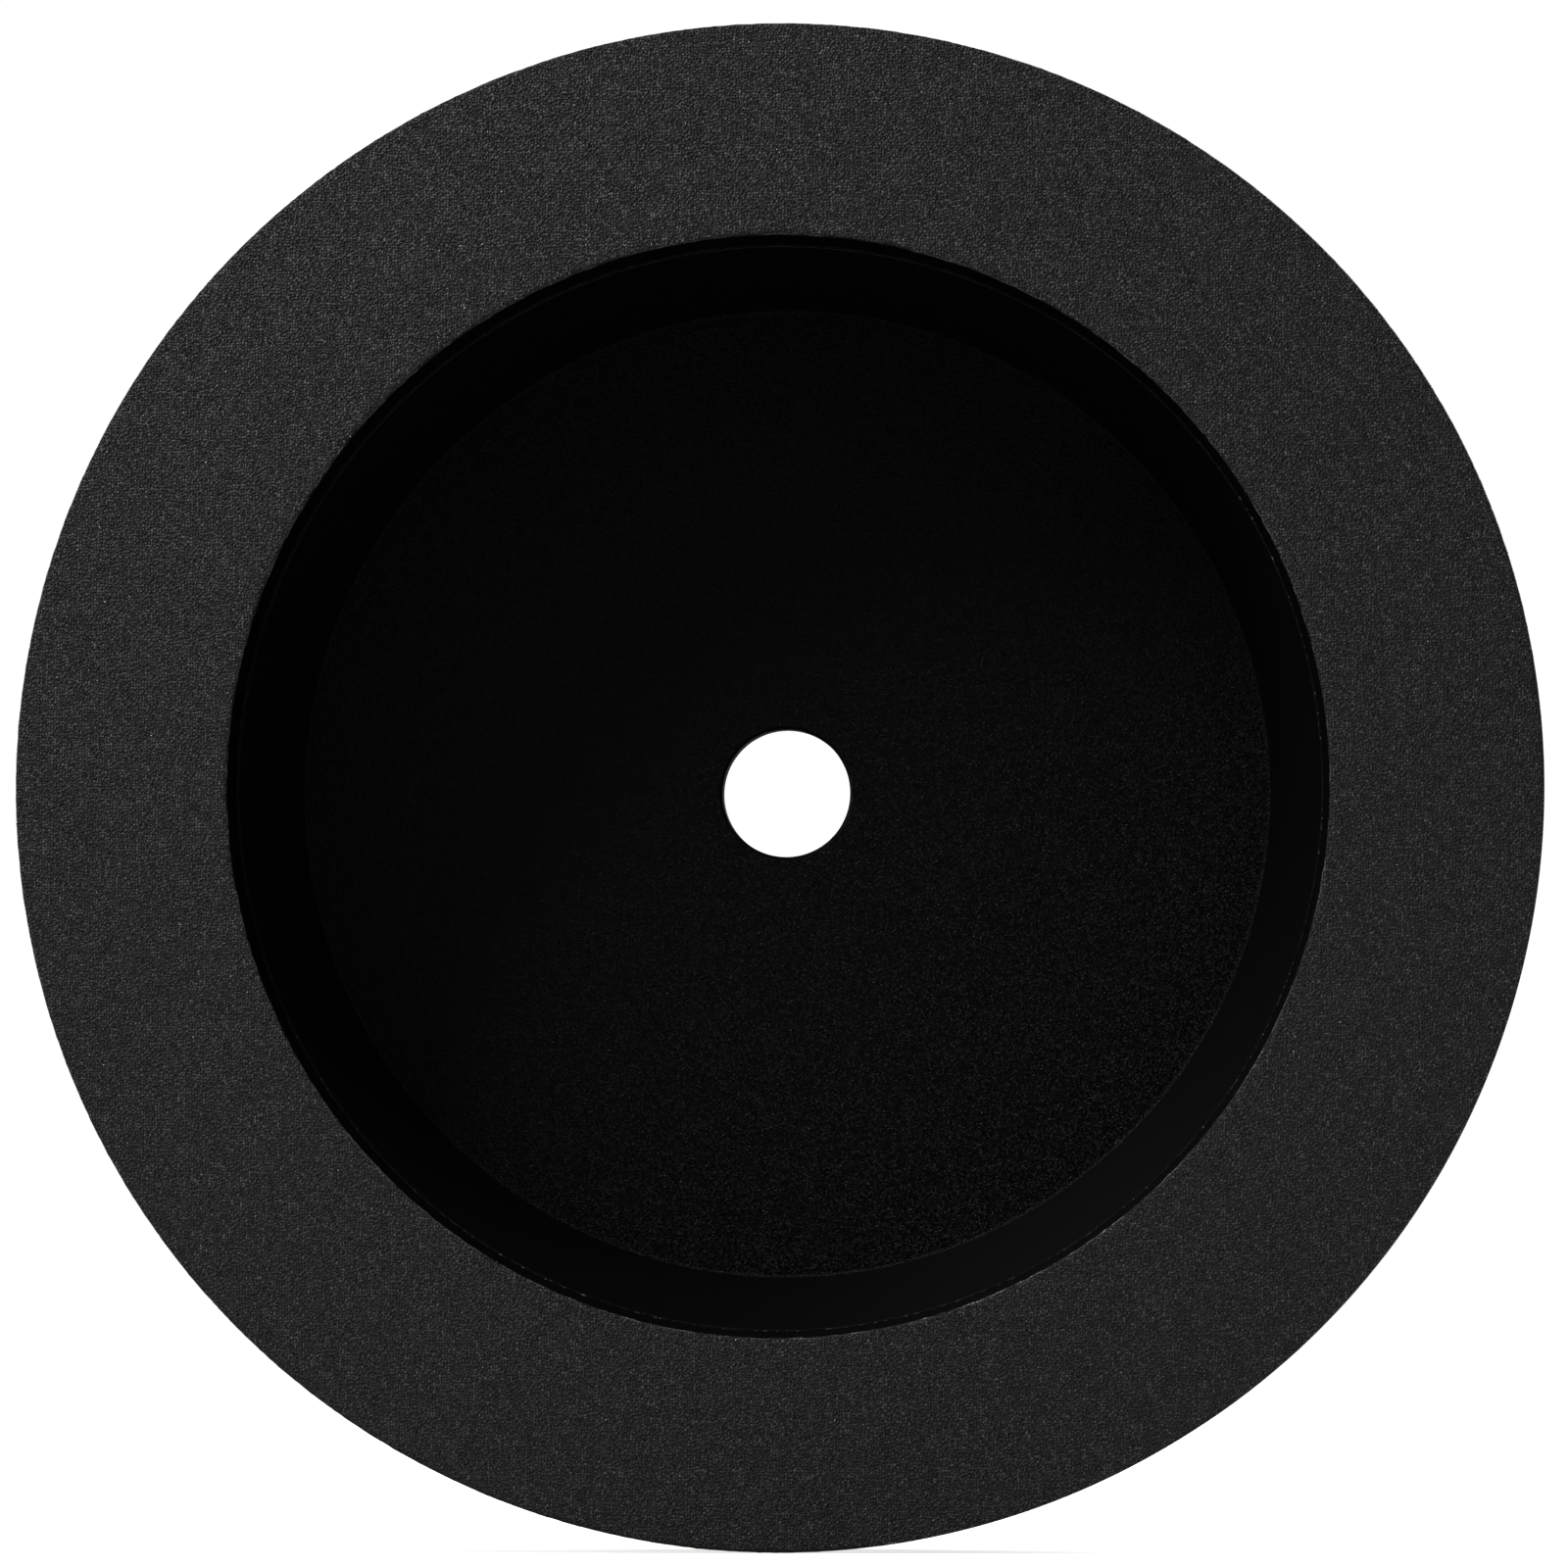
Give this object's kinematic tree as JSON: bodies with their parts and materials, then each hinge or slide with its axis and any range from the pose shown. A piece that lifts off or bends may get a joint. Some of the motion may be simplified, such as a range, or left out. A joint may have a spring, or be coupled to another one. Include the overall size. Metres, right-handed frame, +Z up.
{
  "type": "diamond grinding wheel",
  "caption": "Flat cup grinding wheel: a wide diamond rim bonded to the face of a black recessed body with a thin web and a round arbor hole, for lapidary work.",
  "frame": {"origin": "centre of the wheel: on the arbor axis, halfway through its thickness", "axes": "+Y is the arbor axis and points out of the flat back, so the grinding face looks along -Y; +Z is up"},
  "size_m": [0.15, 0.02, 0.15],
  "materials": {
    "body": "matte",
    "backing": "satin",
    "diamond": "matte"
  },
  "bodies": {
    "root": {"wheel_body": "body", "backing_layer": "backing", "diamond_rim": "diamond"}
  },
  "joints": []
}
